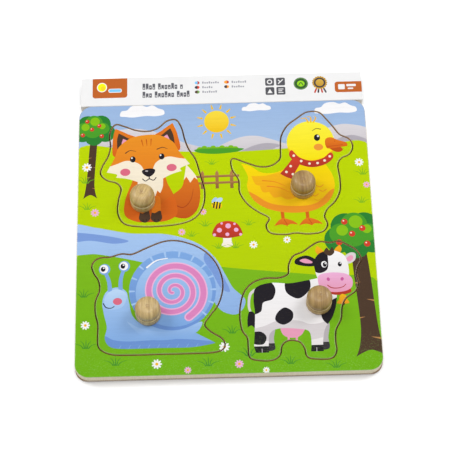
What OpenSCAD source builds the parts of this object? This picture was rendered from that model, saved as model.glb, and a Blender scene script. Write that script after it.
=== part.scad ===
/* [Board] */
// Width of the board, left to right
board_w = 300; // [290:1:360]
// Depth of the board, near edge to far edge
board_d = 300; // [290:1:360]
// Thickness of the frame board, which the lift-out pieces share
frame_t = 9; // [7:0.5:12]
// Thickness of the backing board under it
back_t = 3; // [2:0.5:5]
// Corner radius of the frame board
frame_corner_r = 14; // [8:1:20]
// Corner radius of the backing board
back_corner_r = 12; // [8:1:20]
// Width of the saw cut round each piece
kerf = 1.2; // [0.4:0.1:1.4]

/* [Pieces] */
// Width of the fox piece
fox_w = 106; // [98:1:112]
// Height of the fox piece
fox_h = 122; // [112:1:128]
// Width of the duck piece
duck_w = 126; // [116:1:132]
// Height of the duck piece
duck_h = 140; // [130:1:144]
// Width of the snail piece
snail_w = 130; // [120:1:134]
// Height of the snail piece
snail_h = 120; // [110:1:126]
// Width of the cow piece
cow_w = 122; // [112:1:128]
// Height of the cow piece
cow_h = 124; // [114:1:128]

/* [Knobs] */
// Diameter of a knob's cap
knob_d = 25; // [22:0.5:30]
// Diameter of a knob at its foot, on the piece
knob_foot_d = 25.4; // [22:0.2:31]
// Diameter of a knob beside its turned groove
knob_waist_d = 24.4; // [21:0.2:29]
// Height of a knob
knob_h = 21.3; // [20:0.1:28]
// Height of a knob's foot, from the piece up to the turned groove
knob_foot_h = 7; // [4:0.2:9]
// Width of the turned groove
groove_w = 1.4; // [0.8:0.1:2.4]
// Depth of the turned groove
groove_depth = 1; // [0.4:0.1:2]
// Radius of the rounded edge round a knob's top
knob_round_r = 7.4; // [4:0.2:8]
// Radius of the small centre mark left by turning
mark_r = 2; // [1:0.1:2.5]
// Depth of the centre mark
mark_depth = 0.5; // [0.2:0.1:1]

/* [Screws] */
// Length of a knob screw, head included
screw_l = 21; // [18:0.5:23]
// Diameter over a screw's thread
screw_d = 3.5; // [3:0.1:4.5]
// Diameter of a screw's core, and of the pilot bore in the knob
screw_core_d = 2.6; // [2:0.1:2.9]
// Distance between two turns of the thread
screw_pitch = 1.4; // [1:0.1:2]
// Diameter of a screw's countersunk head
screw_head_d = 7; // [6:0.1:9]
// Height of a screw's countersunk head
screw_head_h = 2.2; // [1.6:0.1:3]
// Width of the cross recess in a screw's head
cross_w = 0.9; // [0.6:0.1:1.2]
// Length of each arm of the cross recess, end to end
cross_l = 4; // [3:0.1:5]
// Depth of the cross recess
cross_depth = 1.3; // [0.8:0.1:1.6]

/* [Header card] */
// Width of the folded header card
card_w = 297; // [260:1:300]
// Depth of the header card, away from the board
card_d = 34; // [24:1:50]
// Thickness of the card
card_t = 0.6; // [0.4:0.1:1]

/* [Hidden] */
// Centres of the pieces as shares of the board's width and depth, from its centre
fox_place_share = [-0.245, 0.235];
duck_place_share = [0.237, 0.223];
snail_place_share = [-0.23, -0.225];
cow_place_share = [0.245, -0.25];

// Centres of the knobs as shares of their piece's width and height, from its centre
fox_knob_share = [-0.092, -0.27];
duck_knob_share = [0.075, -0.135];
snail_knob_share = [-0.07, -0.15];
cow_knob_share = [0.138, -0.03];

// Clearance between a screw's shank or head and the hole in its piece, on the radius
screw_gap = 0.15;
// Depth of the pilot bore past the screw's tip
pilot_extra = 1.5;
// Length of a screw's point
screw_point_l = 2.4;
// Height of the straight rim under a screw's countersink
screw_rim_h = 0.3;
// Length of thread that starts above the head, as a plain shank
screw_shank_l = 3;
// How far a cut runs past the face that it opens
overrun = 1;

// Heights of the stacked boards
frame_z = back_t;
top_z = back_t + frame_t;
card_h = top_z;
// Length of the screw that stands in the knob
screw_bite = screw_l - frame_t;

// Straight steps along each stretch of an outline, between two of its points
outline_steps = 6;
// Straight steps round a knob's rounded edge
round_steps = 10;
$fn = 64;

// Outlines, clockwise, as shares of the piece's width and height
fox_outline_shares = [
    [-0.36, 0.465], [-0.265, 0.445], [-0.15, 0.405], [-0.03, 0.395], [0.065, 0.425],
    [0.15, 0.49], [0.235, 0.5], [0.285, 0.425], [0.315, 0.31], [0.355, 0.21],
    [0.415, 0.12], [0.445, 0.03], [0.47, -0.065], [0.5, -0.19], [0.485, -0.32],
    [0.415, -0.425], [0.285, -0.48], [0.095, -0.5], [-0.115, -0.5], [-0.265, -0.47],
    [-0.325, -0.375], [-0.32, -0.255], [-0.295, -0.15], [-0.34, -0.09], [-0.435, -0.06],
    [-0.495, 0], [-0.475, 0.075], [-0.425, 0.16], [-0.4, 0.26], [-0.41, 0.375]
];
duck_outline_shares = [
    [-0.47, 0.125], [-0.375, 0.095], [-0.26, 0.055], [-0.16, 0.06], [-0.085, 0.115],
    [-0.075, 0.205], [-0.065, 0.3], [-0.015, 0.385], [0.065, 0.445], [0.145, 0.495],
    [0.24, 0.495], [0.3, 0.435], [0.355, 0.365], [0.4, 0.305], [0.475, 0.265],
    [0.5, 0.205], [0.47, 0.145], [0.4, 0.11], [0.37, 0.05], [0.38, -0.05],
    [0.375, -0.15], [0.33, -0.235], [0.265, -0.295], [0.24, -0.355], [0.26, -0.415],
    [0.22, -0.47], [0.11, -0.485], [0.015, -0.475], [-0.08, -0.485], [-0.185, -0.47],
    [-0.215, -0.415], [-0.19, -0.355], [-0.27, -0.305], [-0.355, -0.24], [-0.415, -0.145],
    [-0.42, -0.045], [-0.47, 0.045]
];
snail_outline_shares = [
    [-0.445, 0.34], [-0.355, 0.35], [-0.27, 0.375], [-0.19, 0.37], [-0.085, 0.42],
    [0.025, 0.47], [0.115, 0.485], [0.215, 0.465], [0.33, 0.405], [0.425, 0.3],
    [0.475, 0.175], [0.485, 0.05], [0.45, -0.085], [0.385, -0.185], [0.345, -0.26],
    [0.39, -0.325], [0.475, -0.39], [0.485, -0.46], [0.415, -0.495], [0.23, -0.5],
    [0.015, -0.5], [-0.2, -0.5], [-0.345, -0.49], [-0.43, -0.435], [-0.44, -0.335],
    [-0.44, -0.235], [-0.46, -0.135], [-0.46, -0.035], [-0.43, 0.06], [-0.44, 0.15],
    [-0.475, 0.215], [-0.49, 0.285]
];
cow_outline_shares = [
    [0.1, 0.475], [0.17, 0.51], [0.255, 0.5], [0.335, 0.51], [0.4, 0.475],
    [0.465, 0.43], [0.5, 0.355], [0.47, 0.29], [0.455, 0.22], [0.465, 0.145],
    [0.435, 0.075], [0.355, 0.015], [0.32, -0.055], [0.305, -0.16], [0.26, -0.25],
    [0.25, -0.345], [0.255, -0.425], [0.215, -0.485], [0.105, -0.49], [0.025, -0.47],
    [0.005, -0.395], [-0.04, -0.34], [-0.125, -0.33], [-0.18, -0.37], [-0.2, -0.45],
    [-0.26, -0.49], [-0.36, -0.49], [-0.435, -0.465], [-0.445, -0.38], [-0.45, -0.3],
    [-0.49, -0.235], [-0.505, -0.13], [-0.495, -0.015], [-0.46, 0.095], [-0.385, 0.17],
    [-0.285, 0.2], [-0.18, 0.2], [-0.1, 0.235], [-0.09, 0.315], [-0.05, 0.39],
    [0.03, 0.425]
];

// What each piece is made from: its size, its place, its knob's place and its outline
FOX = [[fox_w, fox_h], fox_place_share, fox_knob_share, fox_outline_shares];
DUCK = [[duck_w, duck_h], duck_place_share, duck_knob_share, duck_outline_shares];
SNAIL = [[snail_w, snail_h], snail_place_share, snail_knob_share, snail_outline_shares];
COW = [[cow_w, cow_h], cow_place_share, cow_knob_share, cow_outline_shares];

// A point of the smooth closed curve through the points p, at share t of the stretch after point i
function curve_point(p, i, t) =
    let (n = len(p), a = p[(i + n - 1) % n], b = p[i], c = p[(i + 1) % n], d = p[(i + 2) % n])
    (2 * b + (c - a) * t + (2 * a - 5 * b + 4 * c - d) * pow(t, 2)
        + (3 * b - a - 3 * c + d) * pow(t, 3)) / 2;

function curve(p) = [
    for (i = [0 : len(p) - 1], k = [0 : outline_steps - 1]) curve_point(p, i, k / outline_steps)
];

// The points p stretched so that they fill the size [width, height], about its centre
function filled(p, size) =
    let (
        x = [for (v = p) v[0]],
        y = [for (v = p) v[1]],
        low = [min(x), min(y)],
        span = [max(x), max(y)] - low
    )
    [for (v = p) [for (k = [0, 1]) ((v[k] - low[k]) / span[k] - 1 / 2) * size[k]]];

// A clockwise outline moved outwards by a gap
function widened(p, gap) =
    let (n = len(p))
    [for (i = [0 : n - 1])
        let (along = p[(i + 1) % n] - p[(i + n - 1) % n])
        p[i] + gap * [-along[1], along[0]] / norm(along)];

function outline(piece) = filled(curve(piece[3]), piece[0]);
function centre(piece) = [piece[1][0] * board_w, piece[1][1] * board_d];
function knob_place(piece) =
    centre(piece) + [piece[2][0] * piece[0][0], piece[2][1] * piece[0][1]];

// A quarter of a circle from its side to its top, as points of a turned profile
function quarter(r, centre_r, centre_z) = [
    for (k = [0 : round_steps])
        [centre_r + r * cos(90 * k / round_steps), centre_z + r * sin(90 * k / round_steps)]
];

module rounded_plate(size, r, t) {
    linear_extrude(t) {
        square([size[0] - 2 * r, size[1]], center = true);
        square([size[0], size[1] - 2 * r], center = true);
        for (x = [-1, 1], y = [-1, 1])
            translate([x * (size[0] / 2 - r), y * (size[1] / 2 - r)]) circle(r);
    }
}

module frame_board() {
    color("yellowgreen")
    translate([0, 0, frame_z])
    difference() {
        rounded_plate([board_w, board_d], frame_corner_r, frame_t);
        for (piece = [FOX, DUCK, SNAIL, COW])
            translate([centre(piece)[0], centre(piece)[1], -overrun])
            linear_extrude(frame_t + 2 * overrun)
            polygon(widened(outline(piece), kerf));
    }
}

module backboard() {
    color("sienna") rounded_plate([board_w, board_d], back_corner_r, back_t);
}

// A sleeve of folded card, open at both ends
module header_card() {
    color("whitesmoke")
    translate([-card_w / 2, board_d / 2, 0])
    difference() {
        cube([card_w, card_d, card_h]);
        translate([-overrun, card_t, card_t])
        cube([card_w + 2 * overrun, card_d - 2 * card_t, card_h - 2 * card_t]);
    }
}

// A plate cut to its outline, drilled and countersunk from below for its knob's screw
module cut_piece(piece) {
    difference() {
        translate([centre(piece)[0], centre(piece)[1], frame_z])
        linear_extrude(frame_t)
        polygon(outline(piece));
        translate([knob_place(piece)[0], knob_place(piece)[1], frame_z]) {
            translate([0, 0, -overrun])
            cylinder(r = screw_d / 2 + screw_gap, h = frame_t + 2 * overrun);
            translate([0, 0, -overrun])
            cylinder(r = screw_head_d / 2 + screw_gap, h = screw_rim_h + overrun);
            translate([0, 0, screw_rim_h])
            cylinder(
                r1 = screw_head_d / 2 + screw_gap,
                r2 = screw_d / 2 + screw_gap,
                h = screw_head_h - screw_rim_h
            );
        }
    }
}

// A turned knob: a foot that narrows upwards, a groove, and a cap that widens to a rounded edge
module knob(piece) {
    cap_z = knob_foot_h + groove_w;
    color("burlywood")
    translate([knob_place(piece)[0], knob_place(piece)[1], top_z])
    difference() {
        rotate_extrude()
        polygon(concat(
            [
                [0, 0],
                [knob_foot_d / 2, 0],
                [knob_waist_d / 2, knob_foot_h],
                [knob_waist_d / 2 - groove_depth, knob_foot_h + groove_w / 2],
                [knob_waist_d / 2, cap_z]
            ],
            quarter(knob_round_r, knob_d / 2 - knob_round_r, knob_h - knob_round_r),
            [[mark_r, knob_h], [0, knob_h - mark_depth]]
        ));
        translate([0, 0, -overrun])
        cylinder(d = screw_core_d, h = screw_bite + pilot_extra + overrun);
    }
}

// A wood screw, driven from under the piece, with its thread as rings round the core
module screw(piece) {
    core_r = screw_core_d / 2;
    thread_l = screw_l - screw_point_l - screw_head_h - screw_shank_l;
    turns = floor(thread_l / screw_pitch);
    color("silver")
    translate([knob_place(piece)[0], knob_place(piece)[1], frame_z])
    difference() {
        rotate_extrude()
        polygon(concat(
            [
                [0, 0],
                [screw_head_d / 2, 0],
                [screw_head_d / 2, screw_rim_h],
                [core_r, screw_head_h],
                [core_r, screw_l - screw_point_l - turns * screw_pitch]
            ],
            [for (k = [turns : -1 : 1], side = [0, 1])
                [side == 0 ? screw_d / 2 : core_r,
                    screw_l - screw_point_l - (k - (side + 1) / 2) * screw_pitch]],
            [[0, screw_l]]
        ));
        translate([0, 0, cross_depth / 2 - overrun / 2])
        for (turn = [0, 90])
            rotate([0, 0, turn])
            cube([cross_l, cross_w, cross_depth + overrun], center = true);
    }
}

module fox_piece() { color("darkorange") cut_piece(FOX); }
module fox_knob() { knob(FOX); }
module fox_screw() { screw(FOX); }
module duck_piece() { color("gold") cut_piece(DUCK); }
module duck_knob() { knob(DUCK); }
module duck_screw() { screw(DUCK); }
module snail_piece() { color("lightskyblue") cut_piece(SNAIL); }
module snail_knob() { knob(SNAIL); }
module snail_screw() { screw(SNAIL); }
module cow_piece() { color("white") cut_piece(COW); }
module cow_knob() { knob(COW); }
module cow_screw() { screw(COW); }

frame_board();
backboard();
header_card();
fox_piece();
fox_knob();
fox_screw();
duck_piece();
duck_knob();
duck_screw();
snail_piece();
snail_knob();
snail_screw();
cow_piece();
cow_knob();
cow_screw();
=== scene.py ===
"""The looks of a wooden peg puzzle: printed board and pieces, knobs, screws and header card."""

from math import atan2, cos, hypot, pi, radians, sin, sqrt

import bpy
import numpy as np
from mathutils import Matrix, Vector
from mathutils.geometry import delaunay_2d_cdt


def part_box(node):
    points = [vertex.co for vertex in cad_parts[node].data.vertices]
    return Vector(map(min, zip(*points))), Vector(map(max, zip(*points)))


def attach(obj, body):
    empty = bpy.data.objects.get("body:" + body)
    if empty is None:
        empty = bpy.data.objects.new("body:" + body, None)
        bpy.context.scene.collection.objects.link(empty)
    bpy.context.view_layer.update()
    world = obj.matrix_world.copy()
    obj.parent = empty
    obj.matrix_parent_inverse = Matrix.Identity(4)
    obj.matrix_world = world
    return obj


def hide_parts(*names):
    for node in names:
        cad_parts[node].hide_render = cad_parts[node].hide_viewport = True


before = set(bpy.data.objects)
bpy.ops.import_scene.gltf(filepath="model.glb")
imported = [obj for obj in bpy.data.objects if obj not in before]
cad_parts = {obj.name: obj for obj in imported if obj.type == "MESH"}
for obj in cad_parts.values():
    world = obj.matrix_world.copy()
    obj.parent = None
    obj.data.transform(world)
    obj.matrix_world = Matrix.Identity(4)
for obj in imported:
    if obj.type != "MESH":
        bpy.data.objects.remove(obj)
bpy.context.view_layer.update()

MM = 0.001
ANIMALS = ("fox", "duck", "snail", "cow")
# The board's side in the drawing, and how near drawn points, in mm, fall together
DRAWN_SIDE = 300
SNAP = 0.02
# A closed edge narrower than this, in mm, is a screw hole's
HOLE_SPAN = 10
# The thickness of the plywood's layers, in metres
PLY = 1.5 * MM
# The angles that a plate's eased edge goes through, and the angle from which a ridge is sharp
EASED = [radians(a) for a in (0, 24, 48, 70, 90)]
RIDGE = radians(35)
# The photo's focal length and side in its own pixels
PHOTO_FOCAL, PHOTO_SIDE = 1439.1, 450


def placed(name, data):
    """A new object in the scene, made of a mesh, a light or a camera."""
    thing = bpy.data.objects.new(name, data)
    bpy.context.scene.collection.objects.link(thing)
    return thing


# Drawing

PAINT = dict(
    rust="#bf541a", rust_deep="#a5431a", orange="#e37c22", orange_deep="#d5641c",
    gold_deep="#ea9326", gold="#f2b818", amber="#eda51c", yellow="#f7e100", yellow_pale="#fbef40",
    cream="#f6ead2", bark="#4e3a2c", bark_light="#b9844e", ink="#232026", ink_soft="#38333a",
    white="#f7f5f5", white_warm="#ebe5e4", stone="#b8b1b4", stone_pale="#d9d2d3", blush="#ea9fbb",
    cheek="#dd6c84", cheek_warm="#ee9a3a", pink="#dd86bd", pink_pale="#efb2d8", rose="#cc5f9f",
    sky_pale="#a5c6ee", sky_white="#bcd8f4", sky_mid="#7fa9e0", blue_soft="#6c93d2",
    brick="#b0382a", poppy="#d2412c", sky="#adc6e4", sky_top="#9ab6dd", sun="#f2c21c",
    sun_pale="#f8dd45", hill="#c6c0c6", hill_top="#dad5d8", hill_deep="#b0aab2", meadow="#b0cd00",
    meadow_top="#bcd500", grass_deep="#6fb212", grass="#7eb81c", water="#8fb2e2",
    water_top="#a9c8ef", water_deep="#7b9cd8", leaf="#4b9e2a", leaf_deep="#2c8132", lime="#88c21a",
    wood="#8e6239", wood_light="#b5834f", panel="#aa551c", card="#d5d4d3", bar="#8e8e94",
    square="#4a4a4e", seal="#6f9a52", seal_deep="#2c4f25", medal="#ad8628", medal_pale="#c09a40",
    word="#55555a", bar_blue="#6fb3dc", blade="#3f8d2c", blade_pale="#6fb024")


def linear(hex_colour):
    """A colour written as #rrggbb, in the linear values that Blender works in."""
    parts = [int(hex_colour[k:k + 2], 16) / 255 for k in (1, 3, 5)]
    return np.array([c / 12.92 if c <= 0.04045 else ((c + 0.055) / 1.055) ** 2.4 for c in parts])


def smooth(points, steps=8, closed=True):
    """A curve through the points. A point with a third number is a sharp corner."""
    flat = [(p[0], p[1]) for p in points]
    sharp = [len(p) > 2 for p in points]
    n = len(flat)
    out = []
    for i in range(n if closed else n - 1):
        a, b = flat[i], flat[(i + 1) % n]
        before = flat[i - 1] if closed or i > 0 else a
        after = flat[(i + 2) % n] if closed or i + 2 < n else b
        ta = (0, 0) if sharp[i] else ((b[0] - before[0]) / 2, (b[1] - before[1]) / 2)
        tb = (0, 0) if sharp[(i + 1) % n] else ((after[0] - a[0]) / 2, (after[1] - a[1]) / 2)
        for k in range(steps):
            t = k / steps
            h = (2 * t**3 - 3 * t**2 + 1, t**3 - 2 * t**2 + t, 3 * t**2 - 2 * t**3, t**3 - t**2)
            out.append(tuple(h[0] * u + h[1] * du + h[2] * v + h[3] * dv
                for u, du, v, dv in zip(a, ta, b, tb)))
    return out if closed else out + [flat[-1]]


def oval(x, y, rx, ry, tilt, n):
    c, s = cos(radians(tilt)), sin(radians(tilt))
    ring = [(rx * cos(2 * pi * k / n), ry * sin(2 * pi * k / n)) for k in range(n)]
    return [(x + u * c - v * s, y + u * s + v * c) for u, v in ring]


def rounded(x0, y0, x1, y1, r, corners=(1, 1, 1, 1)):
    """A rectangle with round corners. A corner that has a 0 in the list is left square."""
    out = []
    for (cx, cy, start), on in zip(((x0 + r, y0 + r, 180), (x1 - r, y0 + r, 270),
            (x1 - r, y1 - r, 0), (x0 + r, y1 - r, 90)), corners):
        reach, turns = (r, range(0, 91, 15)) if on else (r * sqrt(2), (45,))
        for turn in turns:
            a = radians(start + turn)
            out.append((cx + reach * cos(a), cy + reach * sin(a)))
    return out


def line(points, width, end=None, steps=8):
    """The outline of a line that may taper from width to end. Its ends are round."""
    end = width if end is None else end
    path = smooth(points, steps, closed=False)
    n = len(path)
    left, right = [], []
    for i, (x, y) in enumerate(path):
        a, b = path[max(i - 1, 0)], path[min(i + 1, n - 1)]
        dx, dy = b[0] - a[0], b[1] - a[1]
        w = (width + (end - width) * i / (n - 1)) / 2 / (hypot(dx, dy) or 1)
        left.append((x - dy * w, y + dx * w))
        right.append((x + dy * w, y - dx * w))

    def cap(c, angle, r):
        turn = [angle + pi * k / 6 for k in range(1, 6)] if r > 0.15 else []
        return [(c[0] + r * cos(a), c[1] + r * sin(a)) for a in turn]

    out_angle = atan2(path[-1][1] - path[-2][1], path[-1][0] - path[-2][0])
    in_angle = atan2(path[1][1] - path[0][1], path[1][0] - path[0][0])
    far_cap = cap(path[-1], out_angle - pi / 2, end / 2)
    near_cap = cap(path[0], in_angle + pi / 2, width / 2)
    return right + far_cap + left[::-1] + near_cap


def mirrored(points, x0):
    return [(2 * x0 - x, *rest) for x, *rest in points][::-1]


def turned(points, angle, x0, y0):
    c, s = cos(radians(angle)), sin(radians(angle))
    return [(x0 + (x - x0) * c - (y - y0) * s, y0 + (x - x0) * s + (y - y0) * c, *sharp)
        for x, y, *sharp in points]


class Sheet:
    """Painted shapes, each over the ones before it.

    A row has the shape's loop, its paint at the bottom and at the top, and the row that masks it.
    """

    def __init__(self):
        self.rows = []
        self.place(0, 0)

    def place(self, x, y, scale=1):
        """Puts the drawing's origin and scale for the shapes that follow."""
        self.at = (x, y, scale)

    def add(self, points, paint, inside=None, top=None):
        """Adds a shape, and returns its row's number for others to be masked by."""
        x, y, scale = self.at
        loop = np.array([(x + scale * p[0], y + scale * p[1]) for p in points])
        self.rows.append((loop, linear(PAINT[paint]), linear(PAINT[top or paint]), inside))
        return len(self.rows) - 1

    def blob(self, points, paint, inside=None, top=None, steps=8):
        return self.add(smooth(points, steps), paint, inside, top)

    def stroke(self, points, width, paint, end=None, inside=None, steps=8):
        return self.add(line(points, width, end, steps), paint, inside)

    def dot(self, x, y, r, paint, ry=None, tilt=0, inside=None, top=None):
        return self.add(oval(x, y, r, ry or r, tilt, 20 if r < 3 else 40), paint, inside, top)


def fox(s):
    tail = s.blob([(10, -38), (20, -50), (35, -53), (46, -43), (49, -24), (45, -6), (35, 8, 1),
        (33, -6), (30, -18), (20, -27)], "rust", top="orange")
    s.blob([(26, -5, 1), (31, -12, 1), (35, -6, 1), (39, -13, 1), (43, -7, 1), (52, -14, 1),
        (50, 12), (30, 12)], "cream", inside=tail)
    s.stroke([(20, -36), (31, -41), (39, -33), (42, -20)], 1.3, "rust_deep", 0.3, tail)
    body = s.blob([(-14, 2), (-22, -14), (-28, -32), (-28, -48), (-17, -55.5), (-2, -56.5),
        (14, -55.5), (25, -48), (23, -30), (16, -14), (9, 2)], "rust", top="orange")
    s.blob([(-28, -30), (-17, -32), (-11, -42), (-14, -57), (-34, -57)], "orange_deep", body)
    s.blob([(24, -30), (13, -32), (7, -42), (10, -57), (32, -57)], "orange_deep", body)
    s.blob([(-12, 2), (-15, -14), (-12, -24, 1), (-9, -21, 1), (-6, -31, 1), (-2, -26, 1),
        (2, -31, 1), (5, -21, 1), (8, -24, 1), (11, -14), (8, 2)], "cream", body)
    for x in (-8, 4):
        leg = s.blob([(x - 4, -30), (x - 4.6, -44), (x - 5.6, -53), (x, -57), (x + 5.6, -53),
            (x + 4.6, -44), (x + 4, -30), (x, -27)], "orange")
        s.blob([(x - 8, -44, 1), (x - 2, -46.5), (x + 3, -44), (x + 8, -46, 1), (x + 8, -60, 1),
            (x - 8, -60, 1)], "bark", leg)
        for toe in (x - 1.6, x + 1.8):
            s.stroke([(toe, -53.5), (toe, -56.5)], 0.7, "ink", inside=leg)

    def tilt(points):
        return turned(points, 5, -2, -8)

    def tilt_mirrored(points):
        return tilt(mirrored(points, -3))

    for side in (tilt, tilt_mirrored):
        ear = s.blob(side([(-36, 22), (-37, 40), (-33, 55, 1), (-22, 48), (-10, 38)]),
            "orange_deep", top="orange")
        s.blob(side([(-31, 28), (-32.5, 40), (-30, 49, 1), (-23, 44), (-15, 36)]), "bark", ear)
        s.blob(side([(-27, 28), (-28, 36), (-26, 42, 1), (-21, 39), (-16, 34)]), "blush", ear)
    half = [(-18, 42), (-31, 33), (-37, 20), (-46, 5, 1), (-36, 1.5), (-37, -2, 1), (-25, -5),
        (-12, -11)]
    head = s.blob(tilt([(-3, 44)] + half + [(-3, -14)] + mirrored(half, -3)), "orange",
        top="gold_deep")
    for side, glint in ((tilt, -18.8), (tilt_mirrored, -17)):
        s.blob(side([(-52, 9, 1), (-36, 13), (-24, 16), (-12, 11), (-7, 2), (-3, -6), (-3, -18),
            (-30, -14)]), "cream", head)
        s.dot(*side([(-27, 3)])[0], 5.2, "cheek", ry=4.2, inside=head)
        s.dot(*side([(-18, 17)])[0], 2.9, "ink", ry=3.6)
        s.dot(*side([(glint, 18.6)])[0], 0.95, "white")
        s.stroke(side([(-25, 25), (-20, 27.5), (-14, 26)]), 1.1, "bark", 0.4)
    s.blob(tilt([(-9.5, 3), (-3, 4.6), (3.5, 3), (2.5, -1.5), (-3, -5), (-8.5, -1.5)]), "ink")
    s.dot(*tilt([(-5, 1.9)])[0], 1.6, "stone", ry=0.8)
    s.stroke(tilt([(-3, -4), (-3, -7.6)]), 1, "ink")
    s.stroke(tilt([(-10, -6.6), (-7, -9.4), (-3, -7.4), (1, -9.4), (4, -6.6)]), 0.95, "ink")
    for a, b in ((-7, -6), (-2, -2), (3, 2)):
        s.stroke(tilt([(a, 38.4), (b, 31)]), 1.2, "rust", 0.4)


def duck(s):
    for x in (-14, 13):
        s.stroke([(x, -42), (x + 1, -58)], 4.2, "orange_deep", 3.6)
        foot = s.blob([(x - 4, -59), (x + 2, -56.5), (x + 12, -60), (x + 17, -64.5, 1),
            (x + 9, -63.5), (x + 5, -66, 1), (x - 1, -63.8), (x - 9, -65.5, 1)], "orange_deep",
            top="orange")
        s.stroke([(x + 2, -58), (x + 5, -63.5)], 0.8, "rust", inside=foot)
    body = s.blob([(-57, 12, 1), (-50, -4), (-51, -18), (-44, -34), (-28, -45), (-4, -50),
        (20, -48), (37, -38), (45, -22), (44, -6), (36, 10), (30, 20), (6, 22), (-4, 8), (-18, 0),
        (-34, 0), (-46, 8)], "gold", top="yellow")
    s.blob([(-60, -20), (-44, -26), (-26, -38), (0, -42), (24, -39), (44, -22), (50, -40),
        (0, -58), (-50, -50)], "gold_deep", body)
    for k in range(4):
        x, y = 22 + 3 * k - 6 * (k % 2), -34 + 5.5 * k
        s.stroke([(x, y), (x + 4, y - 2), (x + 8, y + 0.5)], 0.9, "gold_deep" if k else "amber",
            inside=body)
    wing = s.blob([(-46, -4, 1), (-30, -4), (-12, 0), (6, -4), (14, -16), (8, -28), (-6, -34),
        (-14, -30, 1), (-22, -31), (-27, -24, 1), (-34, -24), (-37, -16, 1), (-42, -14)], "amber",
        top="gold")
    for path in (
            [(-34, -10), (-20, -12), (-8, -18)],
            [(-29, -17), (-16, -19), (-5, -25)],
            [(-2, -8), (6, -14), (4, -24)]):
        s.stroke(path, 1.1, "orange", 0.3, wing)
    head = s.blob([(22, 63), (6, 58), (-4, 44), (-4, 28), (4, 14), (20, 8), (36, 12), (46, 24),
        (48, 40), (40, 56)], "yellow", top="yellow_pale")
    s.blob([(-8, 34), (4, 20), (20, 14), (38, 18), (50, 30), (52, 10), (20, 0), (-8, 10)], "gold",
        head)
    s.blob([(-3, 20), (6, 10), (22, 5), (38, 9), (46, 17), (43, 23), (34, 16), (21, 13), (8, 18),
        (0, 27)], "brick", top="poppy")
    s.blob([(2, 17), (-6, 8), (-14, -2, 1), (-8, -6), (-1, -9, 1), (3, 0), (9, 12)], "brick",
        top="poppy")
    for x, y in (
            (2, 20), (10, 13), (19, 9.6), (28, 10), (36, 13), (42, 18), (-2, 7), (-7, 0), (0, -3)):
        s.dot(x, y, 1.5, "cream")
    for path in (
            [(20, 62), (17, 67), (12, 66.5)],
            [(23, 62), (23, 68), (19, 69)],
            [(26, 62), (29, 67), (27, 69)]):
        s.stroke(path, 1.9, "gold", 0.7)
    s.blob([(41, 30), (48, 24), (54, 23.5), (57, 27), (50, 32)], "rust")
    bill = s.blob([(38, 39), (44, 42), (52, 38.5), (61, 35), (62, 30.5), (54, 29.5), (46, 28),
        (39, 29)], "orange_deep", top="orange")
    s.stroke([(40, 30.5), (48, 31.2), (57, 32.2)], 0.8, "rust", inside=bill)
    s.dot(48.5, 37, 0.8, "rust", ry=0.5)
    s.dot(29, 42, 3.4, "ink", ry=4.2)
    s.dot(30.2, 43.8, 1.15, "white")
    s.stroke([(24, 50.6), (28.5, 53.4), (33.5, 52.6)], 0.5, "bark", 1)
    s.dot(30, 30, 5.2, "cheek_warm", ry=4.2, inside=head)


def snail(s):
    foot = s.blob([(60, -54, 1), (46, -46), (30, -38), (6, -34), (-14, -32), (-26, -22), (-30, -6),
        (-33, 6), (-43, 11), (-54, 6), (-58, -6), (-56, -20), (-53, -34), (-55, -46), (-50, -55),
        (-36, -58), (0, -58), (36, -58)], "sky_mid", top="sky_pale")
    s.blob([(64, -54), (30, -49), (0, -49), (-30, -50), (-46, -48), (-56, -44), (-58, -62),
        (0, -64), (64, -60)], "blue_soft", foot)
    for k in range(9):
        s.stroke([(-40 + 10 * k, -57.6), (-38 + 10 * k, -54.2)], 0.9, "sky_mid", 0.5, foot)
    for a, b, bend in (((-50, 8), (-56, 30), 1.5), ((-39, 9), (-35, 33), -1.5)):
        s.stroke([a, ((a[0] + b[0]) / 2 + bend, (a[1] + b[1]) / 2), b], 4.6, "sky_mid", 3.4)
        s.dot(b[0], b[1] + 2, 6, "sky_mid", ry=6.2)
        s.dot(b[0] - 0.6, b[1] + 2.4, 4.6, "white", ry=4.9)
        s.dot(b[0] - 1.5, b[1] + 2.2, 2.5, "ink", ry=2.9)
        s.dot(b[0] - 0.9, b[1] + 3.4, 0.85, "white")
    s.blob([(-33, 4), (-43, 9), (-53, 4), (-56, -6), (-50, -14), (-38, -12), (-33, -4)],
        "sky_pale", foot, "sky_white")
    s.dot(-42, -5, 4.8, "cheek", ry=4)
    s.stroke([(-57, -7), (-54, -11.4), (-49, -12.4), (-45.5, -10.5)], 1.1, "ink", 0.8, foot)
    x, y = 16, 6
    shell = s.dot(x, y, 46, "blue_soft", ry=45, top="sky_mid")
    s.dot(x + 1.5, y - 2, 40.5, "sky_mid", ry=39, inside=shell, top="sky_pale")
    coil = [(radians(-62 + 27 * k), 33.5 - 0.83 * k) for k in range(39)]
    path = [(x + 1 + r * cos(a), y - 1 + r * sin(a)) for a, r in coil]
    s.stroke(path, 9.4, "pink_pale", 4, shell, 5)
    s.stroke(path, 6.4, "pink", 2.2, shell, 5)
    for k in range(13):
        a = radians(200 - k * 20)
        s.stroke([(x + 40.4 * cos(a), y + 39 * sin(a)), (x + 47 * cos(a), y + 46 * sin(a))], 1.5,
            "sky_pale", 2.6, shell)
    s.stroke([(x - 27, y + 27), (x - 17, y + 34.5), (x - 5, y + 37)], 2, "white", 0.9)
    s.blob([(-32, -28), (-18, -36), (4, -40), (26, -38), (46, -30), (40, -42), (16, -49),
        (-12, -47)], "sky_mid", top="sky_pale")


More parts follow.
